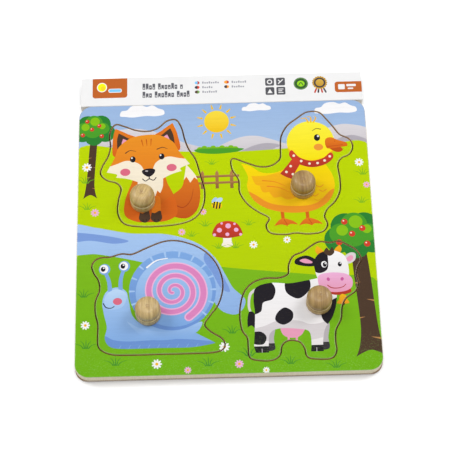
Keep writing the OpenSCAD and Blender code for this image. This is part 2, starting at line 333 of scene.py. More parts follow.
def cow(s):
    s.stroke([(-45, 14), (-53, 8), (-55, -6), (-52, -16)], 3.2, "stone_pale", 2.2)
    s.blob([(-55, -12), (-50, -13), (-47, -22), (-50, -30, 1), (-53, -27), (-57, -29, 1),
        (-57, -20)], "ink")
    for x in (-36, 20):
        far = s.blob([(x - 6, -26), (x - 5.5, -42), (x - 6.5, -54), (x + 6, -54), (x + 5.5, -42),
            (x + 7, -26)], "stone")
        s.blob([(x - 9, -47, 1), (x + 9, -47, 1), (x + 9, -60, 1), (x - 9, -60, 1)], "ink_soft",
            far, steps=2)
    s.blob([(-21, -28), (-22, -36), (-16, -41), (-6, -41), (0, -36), (1, -28)], "blush")
    for x, foot in ((-15, -15.4), (-7, -7)):
        s.stroke([(x, -39), (foot, -43.5)], 2.6, "blush", 2)
    body = s.blob([(-47, 15), (-50, 2), (-49, -14), (-50, -34), (-51, -50), (-49, -57, 1),
        (-36, -57, 1), (-36, -48), (-34, -36), (-24, -31), (-4, -32), (6, -35), (8, -46),
        (7, -57, 1), (20, -57, 1), (20, -46), (23, -32), (31, -20), (36, -4), (36, 14), (26, 24),
        (8, 22), (-12, 19), (-32, 20)], "white_warm", top="white")
    s.blob([(-60, -34), (-40, -28), (-24, -22), (-4, -23), (8, -27), (24, -24), (36, -12),
        (44, -30), (10, -44), (-40, -44)], "stone_pale", body)
    for patch in (
            [(-56, 24), (-36, 24), (-27, 14), (-30, 2), (-40, -2), (-43, -12), (-54, -14),
                (-60, 4)],
            [(-14, 24), (6, 26), (10, 14), (2, 4), (-6, 2), (-16, 10)],
            [(-26, -14), (-18, -8), (-10, -13), (-11, -22), (-20, -27), (-28, -22)],
            [(30, -2), (20, -12), (22, -24), (34, -30), (44, -14), (42, 2)],
            [(-54, -36), (-44, -34), (-38, -40), (-42, -48), (-54, -46)]):
        s.blob(patch, "ink", body)
    for x in (-43, 13):
        s.blob([(x - 10, -50, 1), (x + 10, -50, 1), (x + 10, -60, 1), (x - 10, -60, 1)], "ink",
            body, steps=2)
        s.stroke([(x, -53), (x, -58)], 0.8, "stone", inside=body)
    s.blob([(22, 14), (30, 6), (42, 4.5), (52, 7.5), (50, 12.5), (40, 9.5), (31, 11), (24, 20)],
        "brick", top="poppy")
    bell = s.blob([(40, 3.5), (39, -0.5), (37, -5), (49, -5), (47.5, -0.5), (46.5, 3.5),
        (43, 5.5)], "gold_deep", top="gold")
    s.dot(43, -5.6, 1.7, "bark")
    s.stroke([(37.6, -3.6), (48.4, -3.6)], 0.8, "amber", inside=bell)
    s.blob([(21, 50), (17, 55), (19, 61, 1), (24, 57), (27, 51)], "gold_deep", top="gold")
    s.blob([(42, 51), (45, 57), (43, 61.5, 1), (38, 57), (36, 51)], "gold_deep", top="gold")
    ear = s.blob([(18, 44), (8, 50), (-3, 47), (-5, 41), (5, 38), (15, 38)], "ink")
    s.blob([(13, 43), (6, 46.5), (0, 44.5), (5, 41.5), (12, 41)], "blush", ear)
    ear = s.blob([(46, 46), (53, 52), (59, 51), (58.5, 44), (53, 40), (47, 40)], "stone_pale")
    s.blob([(49, 45), (53.5, 49), (56.5, 48), (56, 44.5), (52, 42)], "blush", ear)
    head = s.blob([(31, 55), (21, 52), (15, 43), (16, 31), (20, 20), (30, 14), (42, 15), (50, 24),
        (51, 36), (48, 48), (40, 54)], "white_warm", top="white")
    s.blob([(12, 60), (10, 40), (18, 30), (28, 33), (30, 44), (27, 60)], "ink", head)
    s.blob([(26, 53), (29, 58.5), (32, 55.5), (35, 59), (37, 53), (32, 49)], "bark")
    muzzle = s.blob([(18, 22), (21, 28), (34, 30), (48, 28), (54, 22), (53, 13), (45, 8.5),
        (32, 8), (21, 12)], "blush", top="pink_pale")
    for x, lean in ((29, 20), (43.5, -20)):
        s.dot(x, 22.4, 1.7, "rose", ry=2.1, tilt=lean)
    s.stroke([(28, 15.6), (32, 12.8), (38, 12.2), (44, 13.6), (47, 16.4)], 1.1, "brick", 0.7,
        muzzle)
    s.dot(25.6, 39.5, 3.1, "white", ry=3.7)
    for x in (26.2, 42):
        s.dot(x, 39.2, 2.1, "ink", ry=2.7)
        s.dot(x + 0.7, 40.4, 0.75, "white")


def daisy(s, x, y, r, petals):
    out = 0.62 * r
    for turn in range(0, 360, 40):
        a = radians(turn)
        s.add(oval(x + out * cos(a), y + out * sin(a), 0.42 * r, 0.2 * r, turn, 12), petals)
    s.dot(x, y, 0.3 * r, "gold")


def tuft(s, x, y, size):
    """Blades of grass, darker in the nearer part of the picture."""
    paint = "blade" if y < -30 else "blade_pale"
    for lean, tall in ((-1, 0.55), (-0.5, 0.85), (0, 1), (0.45, 0.8), (1, 0.5)):
        blade = [(x + u * lean * size, y + v * tall * size)
            for u, v in ((0.2, 0), (0.42, 0.45), (0.86, 0.72))]
        s.stroke(blade, 0.09 * size, paint, 0.02 * size, steps=4)


def cloud(s, x, y, w):
    edge = [(-0.5, -0.08), (-0.47, 0.04), (-0.34, 0.07), (-0.24, 0.17), (-0.04, 0.2), (0.1, 0.15),
        (0.24, 0.18), (0.37, 0.1), (0.49, 0.05), (0.5, -0.06), (0.32, -0.1), (0.08, -0.09),
        (-0.2, -0.12), (-0.38, -0.1)]
    s.blob([(x + u * w, y + v * w) for u, v in edge], "white")


def tree(s, x, foot, top, width, lean):
    """A trunk with marks in its bark. The crown is drawn over its top."""
    up = top - foot
    trunk = s.blob([(x - 0.9 * width, foot, 1), (x - 0.52 * width, foot + 0.25 * up),
        (x + lean - 0.4 * width, top), (x + lean + 0.4 * width, top),
        (x + 0.5 * width, foot + 0.25 * up), (x + 0.9 * width, foot, 1), (x, foot + 0.06 * up)],
        "bark")
    for share, side in ((0.16, 1), (0.34, -1), (0.5, 1), (0.66, -1)):
        middle, y = x + lean * share, foot + share * up
        s.stroke([(middle + side * 0.7 * width, y), (middle + side * 0.1 * width,
            y + 0.12 * width)], 0.14 * width, "bark_light", 0.05, trunk, 3)


def crown(s, x, y, r):
    """A tree's crown: three greens of round leaves, and red fruit."""
    for paint, leaves in (
            ("leaf_deep", ((-0.62, -0.1, 0.55), (0.62, -0.12, 0.55), (-0.36, 0.42, 0.55),
                (0.36, 0.44, 0.55), (0, 0.05, 0.75), (0, -0.38, 0.5))),
            ("leaf", ((-0.55, 0.13, 0.42), (-0.03, 0.49, 0.5), (0.47, 0.17, 0.36),
                (-0.07, 0.09, 0.5))),
            ("lime", ((-0.48, 0.27, 0.22), (0.04, 0.61, 0.26), (0.44, 0.31, 0.18)))):
        for dx, dy, size in leaves:
            s.dot(x + dx * r, y + dy * r, size * r, paint)
    for dx, dy in ((-0.62, -0.22), (-0.12, 0.12), (0.42, -0.3), (0.28, 0.34), (-0.38, 0.62)):
        s.dot(x + dx * r, y + dy * r, 0.12 * r, "poppy")
        s.dot(x + (dx - 0.035) * r, y + (dy + 0.04) * r, 0.03 * r, "cream")


def landscape(s):
    s.add([(-152, 60), (152, 60), (152, 152), (-152, 152)], "sky", top="sky_top")
    s.dot(-6, 128, 13, "sun", top="sun_pale")
    for turn in range(15, 375, 30):
        a = radians(turn)
        ray = [(-6 + r * cos(a), 128 + r * sin(a)) for r in (16, 20.5)]
        s.stroke(ray, 2.2, "sun", 1, steps=2)
    for x, y, w in ((119, 139, 44), (36, 143, 30), (-84, 141, 46)):
        cloud(s, x, y, w)
    for hill, shade in (
            ([(-160, 84), (-140, 104), (-118, 118), (-92, 122), (-66, 116), (-40, 104), (-16, 96),
                (4, 84)],
            [(-150, 84), (-128, 98), (-106, 106), (-80, 109), (-96, 100), (-84, 92), (-104, 84)]),
            ([(-30, 84), (-8, 97), (16, 108), (34, 110), (52, 105), (74, 96), (96, 84)],
            [(10, 84), (26, 96), (44, 101), (60, 98), (50, 92), (70, 84)]),
            ([(60, 84), (88, 104), (112, 118), (132, 121), (156, 112), (160, 84)],
            [(92, 84), (112, 100), (134, 108), (152, 100), (130, 96), (140, 84)])):
        s.blob(hill, "hill", top="hill_top")
        s.blob(shade, "hill_deep")
    s.blob([(-152, 97), (-110, 100), (-60, 95), (0, 92), (60, 94), (110, 98), (152, 95), (152, 20),
        (152, -152), (0, -152), (-152, -152), (-152, 20)], "meadow", top="meadow_top", steps=6)
    for k in range(9):
        s.dot(-24 + 4.6 * k, 95 + 1.4 * (k % 2), 3.4, "leaf", top="lime")
    s.blob([(-26, 92), (-10, 90), (8, 91), (18, 93), (18, 96), (-26, 96)], "leaf")
    s.blob([(-152, -24), (-100, -24), (-52, -30), (0, -38), (50, -44), (100, -50), (152, -60),
        (152, -152), (60, -152), (-60, -152), (-152, -152), (-152, -90)], "grass_deep",
        top="grass", steps=6)
    s.blob([(-156, 12), (-130, 9), (-96, 2), (-60, 0), (-30, -10), (-12, -26), (-2, -44), (6, -60),
        (18, -74), (10, -88), (-6, -84), (-18, -66), (-28, -50), (-44, -42), (-70, -34),
        (-100, -26), (-130, -20), (-156, -18)], "water", top="water_top")
    s.blob([(-156, 4), (-126, 1), (-98, -6), (-112, -9), (-136, -5), (-156, -6)], "water_deep")
    s.blob([(-20, -22), (-10, -34), (-3, -48), (3, -64), (-6, -60), (-14, -44), (-22, -30)],
        "water_deep")
    tree(s, -137, 42, 112, 8, 3)
    crown(s, -134, 120, 19)
    tree(s, 139, -136, -20, 17, -6)
    crown(s, 131, -8, 27)
    for x in (-22, -7, 8):
        s.blob([(x - 1.7, 50, 1), (x - 1.7, 68, 1), (x, 71, 1), (x + 1.7, 68, 1),
            (x + 1.7, 50, 1)], "wood", top="wood_light", steps=2)
    for y in (55, 62.5):
        s.blob([(-30, y, 1), (16, y + 0.6, 1), (16, y + 3.2, 1), (-30, y + 2.6, 1)], "wood",
            top="wood_light", steps=2)
    s.blob([(-1.5, -2), (-2.5, -10), (-4, -14), (1, -16), (7, -14), (6, -9), (5.5, -2)], "cream",
        top="white")
    cap = s.blob([(2, 13), (-8, 10), (-13, 1), (-12, -3.4), (-4, -5.4), (2, -6), (8, -5.4),
        (16, -3.4), (17, 1), (12, 10)], "brick", top="poppy")
    for x, y, r in ((-6, 3, 2.6), (3, 7.5, 2.8), (11, 3, 2.3), (2, -1.8, 2), (-11, -2, 1.6),
            (15.4, -2.2, 1.5), (-3.5, 10.4, 1.3), (9.5, 9.6, 1.3)):
        s.dot(x, y, r, "pink_pale", inside=cap)
    s.dot(-10, 36, 4.2, "water_top", ry=2.6, tilt=60)
    s.dot(-5.6, 36.4, 4.2, "sky_white", ry=2.5, tilt=35)
    bee = s.dot(-8, 31, 5.6, "gold", ry=4.1, tilt=-12, top="yellow")
    for dx in (-2.8, 0.2, 3.2):
        s.stroke([(dx - 8.8, 26), (dx - 7.2, 36)], 1.5, "ink", inside=bee, steps=3)
    s.dot(-12.2, 32.6, 0.6, "ink")
    for x, y, size in ((-142, 60, 12), (-12, 78, 9), (143, 62, 11), (-140, 30, 11), (24, 8, 9),
            (-34, -3, 9), (140, 30, 10), (-20, 8, 10), (-142, -66, 12), (20, -132, 14),
            (-20, -141, 13), (-110, -138, 13), (104, -146, 12), (4, -108, 12), (-139, -120, 13),
            (60, -141, 12), (-7, -17, 9), (10, -17, 10)):
        tuft(s, x, y, size)
    for x, y, r in ((-141, 78, 5), (140, 76, 4.6), (28, -14, 4.2), (-4, -122, 5.2), (-70, -138, 5),
            (-140, -96, 4.6), (62, -9.5, 3.8), (36, -147, 3.4)):
        daisy(s, x, y, r, "white")
    for x, y, r in ((-132, 26, 4.4), (146, 50, 3.6), (-22, 24, 3.6), (10, -140, 4.4),
            (-44, 2, 3.8), (-40, -145, 3.6)):
        daisy(s, x, y, r, "pink_pale")


# Each animal's drawing, its scale, and how far it is lifted in its piece
DRAWN = dict(fox=(fox, 1, 0), duck=(duck, 0.93, 0), snail=(snail, 0.94, 0.6), cow=(cow, 0.95, 0))


# Meshes

def within(points, loop):
    """Which of the points the closed loop goes round."""
    x, y = points[:, 0], points[:, 1]
    turns = np.zeros(len(points), int)
    ax, ay = loop[-1]
    for bx, by in loop:
        side = (bx - ax) * (y - ay) - (x - ax) * (by - ay)
        turns += ((ay <= y) & (by > y) & (side > 0)).astype(int)
        turns -= ((ay > y) & (by <= y) & (side < 0)).astype(int)
        ax, ay = bx, by
    return turns != 0


def within_odd(points, loops):
    """Which of the points an odd number of the loops go round."""
    return sum(within(points, loop).astype(int) for loop in loops) % 2 == 1


def triangles(loops, spare_lines=()):
    """Points and triangles that have every loop and line among their edges."""
    points, edges = [], []
    for loop in loops:
        start = len(points)
        points += [Vector((float(x), float(y))) for x, y in loop]
        edges += [(start + k, start + (k + 1) % len(loop)) for k in range(len(loop))]
    for a, b in spare_lines:
        edges.append((len(points), len(points) + 1))
        points += [Vector(a), Vector(b)]
    out = delaunay_2d_cdt(points, edges, [], 0, SNAP, False)
    return np.array([tuple(p) for p in out[0]]), np.array([tuple(f) for f in out[2]])


def painted(sheet, points, faces):
    """The colour of each corner of each face: the last shape of the sheet that it lies in."""
    centres = points[faces].mean(axis=1)
    wanted = {row[3] for row in sheet.rows}
    masks = {}
    top = np.full(len(faces), -1)
    for k, (loop, _, _, inside) in enumerate(sheet.rows):
        low, high = loop.min(axis=0), loop.max(axis=0)
        near = np.flatnonzero(((centres > low) & (centres < high)).all(axis=1))
        mask = np.zeros(len(faces), bool)
        mask[near] = within(centres[near], loop)
        if inside is not None:
            mask &= masks[inside]
        if k in wanted:
            masks[k] = mask
        top[mask] = k
    colours = np.ones((len(faces), 3, 3))
    for k in np.unique(top[top >= 0]):
        loop, low_paint, high_paint, _ = sheet.rows[k]
        mine = top == k
        low, high = loop[:, 1].min(), loop[:, 1].max()
        share = np.clip((points[faces[mine]][:, :, 1] - low) / (high - low), 0, 1)[:, :, None]
        colours[mine] = low_paint + (high_paint - low_paint) * share
    return colours


def moved_out(loop, gap):
    """A loop with its inner side on the left, moved to the right by a gap."""
    loop = np.asarray(loop, float)
    along = np.roll(loop, -1, axis=0) - loop
    along /= np.linalg.norm(along, axis=1)[:, None]
    normal = np.column_stack([along[:, 1], -along[:, 0]])
    before = np.roll(normal, 1, axis=0)
    mitre = (normal + before) / (1 + (normal * before).sum(axis=1))[:, None]
    return loop + mitre * gap


def chained(edges):
    """Directed edges joined into closed loops."""
    after = {}
    for a, b in edges:
        after.setdefault(a, []).append(b)
    loops = []
    while after:
        start = next(iter(after))
        loop, here = [], start
        while True:
            loop.append(here)
            following = after[here].pop()
            if not after[here]:
                del after[here]
            here = following
            if here == start:
                break
        loops.append(loop)
    return loops


def outer_edges(faces):
    """The edges that one face alone has, in that face's direction."""
    seen = {}
    for f, face in enumerate(faces):
        for k in range(len(face)):
            a, b = int(face[k]), int(face[(k + 1) % len(face)])
            if (b, a) in seen:
                del seen[(b, a)]
            else:
                seen[(a, b)] = (f, k)
    return seen


def in_mm(spot):
    return tuple(round(v / MM, 4) for v in spot)


def rims(node, z):
    """The loops, in mm, round a CAD node's flat faces at height z, with wood on their left."""
    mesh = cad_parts[node].data
    faces, points, index = [], [], {}
    for polygon in mesh.polygons:
        corners = [mesh.vertices[v].co for v in polygon.vertices]
        if all(abs(c.z - z) < 1e-6 for c in corners):
            face = []
            for c in corners:
                key = in_mm(c)[:2]
                if key not in index:
                    index[key] = len(points)
                    points.append(key)
                face.append(index[key])
            faces.append(face if polygon.normal.z > 0 else face[::-1])
    return [np.array([points[k] for k in loop]) for loop in chained(outer_edges(faces))]


class Skin:
    """A mesh in the making, in mm. Faces have a material, and corners a colour and bareness."""

    def __init__(self):
        self.points, self.index = [], {}
        self.faces, self.slots, self.flat, self.colours, self.bare = [], [], [], [], []

    def point(self, p):
        x, y, z = p
        key = (float(np.float32(x)), float(np.float32(y)), round(float(z), 4))
        if key not in self.index:
            self.index[key] = len(self.points)
            self.points.append(key)
        return self.index[key]

    def face(self, corners, slot, colours=None, bare=None, flat=False):
        """Adds a face, without the corners that fall on the one before them."""
        ids = [self.point(c) for c in corners]
        keep = [k for k in range(len(ids)) if ids[k] != ids[k - 1]]
        if len(keep) < 3:
            return
        colours = [(1, 1, 1)] * len(ids) if colours is None else colours
        bare = [0] * len(ids) if bare is None else bare
        self.faces.append([ids[k] for k in keep])
        self.slots.append(slot)
        self.flat.append(flat)
        self.colours += [(*colours[k], 1) for k in keep]
        self.bare += [bare[k] for k in keep]

    def made(self, name, materials, body, node, slot):
        """Turns the skin into an object of the scene that stands in for a CAD node."""
        mesh = bpy.data.meshes.new(name)
        mesh.from_pydata([tuple(v * MM for v in p) for p in self.points], [], self.faces)
        mesh.polygons.foreach_set("material_index", self.slots)
        mesh.polygons.foreach_set("use_smooth", [not f for f in self.flat])
        colour = mesh.color_attributes.new("print", "FLOAT_COLOR", "CORNER")
        colour.data.foreach_set("color", np.array(self.colours, np.float32).ravel())
        bare = mesh.attributes.new("bare", "FLOAT", "CORNER")
        bare.data.foreach_set("value", np.array(self.bare, np.float32))
        mesh.set_sharp_from_angle(angle=RIDGE)
        for material in materials:
            mesh.materials.append(material)
        piece = placed(name, mesh)
        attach(piece, body)
        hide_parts(node)


def kind_of(ring):
    """Which kind of edge a loop is: a screw hole, the plate's outer edge, or a cut-out."""
    if np.ptp(ring, axis=0).max() < HOLE_SPAN:
        return "hole"
    x, y = ring[:, 0], ring[:, 1]
    area = (x * np.roll(y, -1) - np.roll(x, -1) * y).sum()
    return "outer" if area > 0 else "cutout"


def plate(node, eases, points, faces, colours, rims_as):
    """A plate with eased edges. Its top is given. Walls and underside follow the CAD node.

    The dict rims_as has the material of each kind of wall and of the underside, and how worn
    each kind of edge is: above 0 bares the wood, and below 0 singes the print. On the pieces
    the pale bared rim is also a painted highlight along the rounded edge.
    """
    low, high = (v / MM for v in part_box(node))
    skin = Skin()
    for face, colour in zip(faces, colours):
        skin.face([(*points[k], high.z) for k in face], 0, colour, flat=True)
    edges = outer_edges(faces)
    bottoms = []
    for loop in chained(edges):
        ring = points[loop]
        kind = kind_of(ring)
        if kind == "hole":
            bottoms += hole(skin, node, ring, low.z, high.z, rims_as[kind])
            continue
        rings = [moved_out(ring, eases[kind] * sin(a)) for a in EASED]
        heights = [high.z - eases[kind] * (1 - cos(a)) for a in EASED]
        wear_and_sheen = [rims_as["wear_and_sheen"].get(kind, 0) * min(1, level / 3) for level in range(len(EASED))]
        for i, here in enumerate(loop):
            j = (i + 1) % len(loop)
            f, k = edges[(here, loop[j])]
            a, b = colours[f][k], colours[f][(k + 1) % 3]
            ends = [((*edge[j], z), (*edge[i], z)) for edge, z in zip(rings, heights)]
            for level in range(len(EASED) - 1):
                skin.face([*ends[level], *ends[level + 1][::-1]], 0, [b, a, a, b],
                    [wear_and_sheen[level]] * 2 + [wear_and_sheen[level + 1]] * 2)
            skin.face([*ends[-1], (*rings[-1][i], low.z), (*rings[-1][j], low.z)], rims_as[kind])
        bottoms.append(rings[-1])
    base, flats = triangles(bottoms)
    for face in flats[enclosed(base, flats, bottoms)]:
        skin.face([(*base[k], low.z) for k in face[::-1]], rims_as["under"], flat=True)
    # A sliver that the underside's triangles left open is closed by a face of its own
    for slit in chained(outer_edges(skin.faces)):
        skin.face([skin.points[k] for k in slit[::-1]], rims_as["under"], flat=True)
    return skin


def enclosed(points, faces, loops):
    """Which faces lie inside the loops. A face on a loop goes by the loop's direction."""
    inner = within_odd(points[faces].mean(axis=1), loops)
    spots = {tuple(p): k for k, p in enumerate(points)}
    rounds = set()
    for loop in loops:
        ids = [spots.get(tuple(float(np.float32(v)) for v in p)) for p in loop]
        rounds |= set(zip(ids, ids[1:] + ids[:1]))
    for k, face in enumerate(faces):
        a, b, c = (int(v) for v in face)
        for edge in ((a, b), (b, c), (c, a)):
            if edge in rounds or edge[::-1] in rounds:
                inner[k] = edge in rounds
    return inner


def hole(skin, node, ring, low_z, high_z, slot):
    """Copies the wall of a CAD node's hole, and returns its loop in the underside."""
    centre = ring.mean(axis=0)
    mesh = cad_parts[node].data
    for polygon in mesh.polygons:
        corners = [in_mm(mesh.vertices[v].co) for v in polygon.vertices]
        near = all(hypot(x - centre[0], y - centre[1]) < HOLE_SPAN / 2 for x, y, _ in corners)
        level = any(all(abs(z - flat) < 0.01 for _, _, z in corners) for flat in (low_z, high_z))
        if near and not level:
            skin.face(corners, slot)
    return [loop for loop in rims(node, low_z * MM)
        if kind_of(loop) == "hole" and np.hypot(*(loop.mean(axis=0) - centre)) < 1]


# Materials

class Nodes:
    """A material's node tree, with short calls for the nodes that it is made of."""

    def __init__(self, name):
        self.material = bpy.data.materials.new(name)
        self.material.use_nodes = True
        self.tree = self.material.node_tree
        self.shader = self.tree.nodes["Principled BSDF"]

    def new(self, kind, **settings):
        node = self.tree.nodes.new(kind)
        for key, value in settings.items():
            setattr(node, key, value)
        return node

    def link(self, source, target):
        self.tree.links.new(source, target)

    def feed(self, socket, value):
        """Links a value to an input of the material's shader."""
        self.link(value, self.shader.inputs[socket])

    def coordinates(self):
        return self.new("ShaderNodeTexCoord").outputs["Object"]

    def place(self):
        """The X, Y and Z of the place on the object, in metres."""
        node = self.new("ShaderNodeSeparateXYZ")
        self.link(self.coordinates(), node.inputs[0])
        return node.outputs

    def length(self, vector):
        node = self.new("ShaderNodeVectorMath", operation="LENGTH")
        self.link(vector, node.inputs[0])
        return node.outputs["Value"]

    def noise(self, scale, detail, roughness, shift=(0, 0, 0)):
        """Noise with the given number of waves per metre along each axis."""
        mapping = self.new("ShaderNodeMapping")
        mapping.inputs["Scale"].default_value = scale
        mapping.inputs["Location"].default_value = shift
        self.link(self.coordinates(), mapping.inputs["Vector"])
        node = self.new("ShaderNodeTexNoise")
        for key, number in (("Scale", 1), ("Detail", detail), ("Roughness", roughness)):
            node.inputs[key].default_value = number
        self.link(mapping.outputs["Vector"], node.inputs["Vector"])
        return node.outputs["Fac"]

    def ranged(self, value, low, high, to_low, to_high):
        node = self.new("ShaderNodeMapRange")
        self.link(value, node.inputs["Value"])
        for key, number in (("From Min", low), ("From Max", high), ("To Min", to_low),
                ("To Max", to_high)):
            node.inputs[key].default_value = number
        return node.outputs["Result"]

    def maths(self, operation, a, b=0):
        node = self.new("ShaderNodeMath", operation=operation)
        for k, value in enumerate((a, b)):
            if isinstance(value, (int, float)):
                node.inputs[k].default_value = value
            else:
                self.link(value, node.inputs[k])
        return node.outputs[0]

    def mixed(self, share, a, b, blend="MIX"):
        node = self.new("ShaderNodeMix", data_type="RGBA", blend_type=blend)
        sockets = [s for s in node.inputs if s.enabled]
        for socket, value in zip(sockets, (share, a, b)):
            if isinstance(value, bpy.types.NodeSocket):
                self.link(value, socket)
            elif isinstance(value, str):
                socket.default_value = (*linear(value), 1)
            else:
                socket.default_value = value
        return next(s for s in node.outputs if s.enabled)

    def bump(self, height, strength, distance):
        node = self.new("ShaderNodeBump")
        node.inputs["Strength"].default_value = strength
        node.inputs["Distance"].default_value = distance
        self.link(height, node.inputs["Height"])
        self.feed("Normal", node.outputs["Normal"])

    def attribute(self, name):
        return self.new("ShaderNodeAttribute", attribute_name=name)

    def set(self, **values):
        """Sets inputs of the shader, named with _ for each space."""
        for key, value in values.items():
            self.shader.inputs[key.replace("_", " ")].default_value = value


def printed_wood():
    """Ink on fine plywood: the grain shows through as faint lines from left to right."""
    n = Nodes("printed_wood")
    fine = n.noise((70, 2600, 60), 4, 0.6)
    broad = n.noise((14, 330, 14), 3, 0.55)
    grain = n.maths("ADD", n.ranged(fine, 0.3, 0.7, -0.045, 0.03),
        n.ranged(broad, 0.3, 0.7, -0.02, 0.02))
    lit = n.maths("ADD", grain, 1)
    ink = n.mixed(1, n.attribute("print").outputs["Color"], n.maths("MULTIPLY", lit, 0.75),
        "MULTIPLY")
    pores = n.noise((260, 5200, 200), 2, 0.5)
    ink = n.mixed(n.ranged(pores, 0.66, 0.78, 0, 0.3), ink, "#8a7b50")
    wood = n.mixed(n.ranged(broad, 0.35, 0.65, 0, 1), "#b8ae94", "#c6bda9")
    # Pale green specks in the print, strongest at the near edge and gone further back
    pale_specks = n.noise((600, 900, 600), 3, 0.7)
    nearness = n.ranged(n.place()["Y"], -0.15, -0.105, 1, 0)
    pale_specks = n.maths("MULTIPLY", n.ranged(pale_specks, 0.53, 0.72, 0, 0.5), nearness)
    ink = n.mixed(pale_specks, ink, "#94bd66")
    # Bare wood where a rim is worn; on the pieces' rims this pale colour is also a painted
    # highlight
    bare = n.attribute("bare").outputs["Fac"]
    chips = n.ranged(n.noise((500, 500, 500), 2, 0.6), 0.3, 0.7, 0.75, 1.3)
    ink = n.mixed(n.ranged(n.maths("MULTIPLY", bare, chips), 0.1, 0.9, 0, 1), ink, wood)
    along = n.noise((26, 26, 26), 2, 0.5)
    singed = n.maths("MULTIPLY", n.ranged(bare, -0.7, -0.05, 1, 0),
        n.ranged(along, 0.4, 0.6, 0.2, 0.9))
    ink = n.mixed(singed, ink, "#76653c")
    n.feed("Base Color", ink)
    satin = n.maths("MULTIPLY", n.ranged(fine, 0.3, 0.7, 0.4, 0.52),
        n.ranged(bare, 0, 0.3, 1, 0.6))
    n.feed("Roughness", satin)
    n.feed("Specular IOR Level", n.ranged(bare, 0, 0.3, 0.04, 1))
    n.bump(fine, 0.25, 0.00006)
    return n.material


def cut_wood(name, light, dark, bands):
    """A sawn edge of plywood: layers of thin wood, alternately along and across the grain."""
    n = Nodes(name)
    wave = n.maths("SINE", n.maths("MULTIPLY", n.place()["Z"], pi / PLY))
    streaks = n.noise((900, 900, 60), 4, 0.6)
    fibres = n.noise((160, 160, 3600), 3, 0.6)
    layers = n.ranged(wave, -0.25, 0.25, 0, bands)
    tone = n.maths("ADD", layers, n.ranged(streaks, 0.3, 0.7, -0.1, 0.25))
    tone = n.maths("ADD", tone, n.ranged(fibres, 0.35, 0.65, -0.15, 0.3))
    n.feed("Base Color", n.mixed(n.ranged(tone, 0, 1, 0, 1), light, dark))
    n.set(Roughness=0.8)
    n.bump(streaks, 0.5, 0.00012)
    return n.material


def bare_wood():
    """The unprinted underside of a piece: pale face veneer."""
    n = Nodes("bare_wood")
    fine = n.noise((60, 2400, 60), 4, 0.6)
    broad = n.noise((10, 240, 10), 3, 0.6)
    tone = n.mixed(n.ranged(broad, 0.35, 0.65, 0, 1), "#cdb88d", "#dfcda8")
    tone = n.mixed(n.ranged(fine, 0.52, 0.7, 0, 0.5), tone, "#a98a5c")
    n.feed("Base Color", tone)
    n.set(Roughness=0.68)
    n.bump(fine, 0.35, 0.0001)
    return n.material


def hardboard():
    """Pressed brown fibre board: fine felted fibres and darker flecks."""
    n = Nodes("hardboard")
    fibres = n.noise((900, 700, 900), 5, 0.7)
    flecks = n.noise((260, 420, 260), 3, 0.6)
    tone = n.mixed(n.ranged(fibres, 0.3, 0.7, 0, 1), "#6b4a2e", "#93704a")
    tone = n.mixed(n.ranged(flecks, 0.62, 0.7, 0, 0.6), tone, "#4a301c")
    n.feed("Base Color", tone)
    n.feed("Roughness", n.ranged(fibres, 0.3, 0.7, 0.6, 0.8))
    n.bump(fibres, 0.4, 0.0001)
    return n.material


def card_stock():
    """Coated white card with flat printing, a little mottled."""
    n = Nodes("card_stock")
    mottle = n.noise((55, 55, 55), 4, 0.6)
    tooth = n.noise((1500, 1500, 1500), 3, 0.6)
    shade = n.maths("ADD", n.ranged(mottle, 0.3, 0.7, -0.015, 0.01), 1)
    ink = n.mixed(1, n.attribute("print").outputs["Color"], shade, "MULTIPLY")
    raw = n.mixed(n.ranged(tooth, 0.3, 0.7, 0, 1), "#a39c90", "#bdb7ab")
    n.feed("Base Color", n.mixed(n.attribute("bare").outputs["Fac"], ink, raw))
    n.feed("Roughness", n.ranged(tooth, 0.3, 0.7, 0.36, 0.46))
    n.set(Specular_IOR_Level=0.2)
    n.bump(tooth, 0.12, 0.00003)
    return n.material


